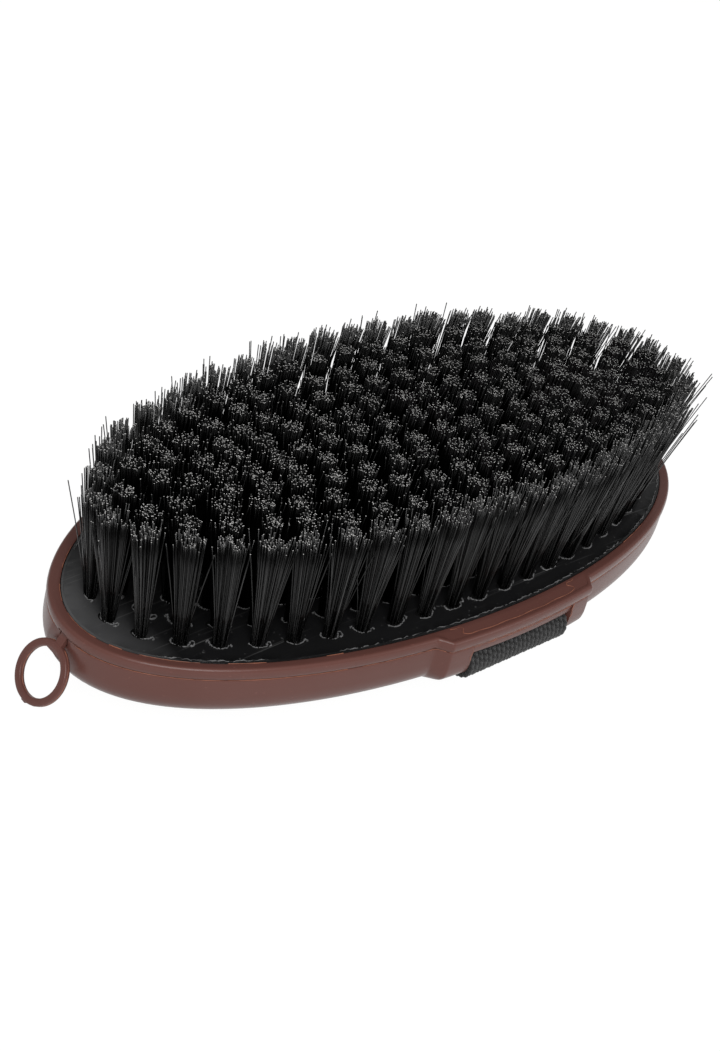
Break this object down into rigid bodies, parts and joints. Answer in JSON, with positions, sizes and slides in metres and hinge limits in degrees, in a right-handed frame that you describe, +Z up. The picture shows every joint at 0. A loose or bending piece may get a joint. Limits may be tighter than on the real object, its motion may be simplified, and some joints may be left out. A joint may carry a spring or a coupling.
{
  "type": "grooming brush",
  "caption": "Oval hand brush: plastic back and rim, black tuft plate full of stiff bristles, elastic hand strap across the back, and a small hinged hanging ring at one end.",
  "frame": {"origin": "middle of the flat under the hand strap, on which the brush rests with its bristles up", "axes": "+X along the oval away from the hanging ring, +Y across the strap, +Z up through the bristles"},
  "size_m": [0.2087, 0.0998, 0.0559],
  "materials": {
    "back_plastic": "satin moulded brown",
    "rim_plastic": "satin moulded brown",
    "ring_plastic": "satin moulded brown",
    "plate_plastic": "satin black",
    "bristle_nylon": "satin black filament",
    "strap_elastic": "ribbed woven elastic",
    "anchor_steel": "plain wire"
  },
  "bodies": {
    "brush": {"back_shell": "back_plastic", "rim_frame": "rim_plastic", "tuft_plate": "plate_plastic", "bristles_outer_ring": "bristle_nylon", "bristles_second_ring": "bristle_nylon", "bristles_third_ring": "bristle_nylon", "bristles_fourth_ring": "bristle_nylon", "bristles_fifth_ring": "bristle_nylon", "bristles_middle_row": "bristle_nylon", "anchors_outer_ring": "anchor_steel", "anchors_second_ring": "anchor_steel", "anchors_third_ring": "anchor_steel", "anchors_fourth_ring": "anchor_steel", "anchors_fifth_ring": "anchor_steel", "anchors_middle_row": "anchor_steel", "hand_strap": "strap_elastic", "strap_bar_front": "rim_plastic", "strap_bar_rear": "rim_plastic", "hem_rod_front": "anchor_steel", "hem_rod_rear": "anchor_steel"},
    "ring": {"hanging_ring": "ring_plastic"}
  },
  "joints": [
    {"name": "ring_swing", "type": "hinge", "parent": "brush", "child": "ring", "pos_m": [-0.09855, 0, 0.0208], "axis": [0, 1, 0], "range_deg": [0, 60]}
  ]
}
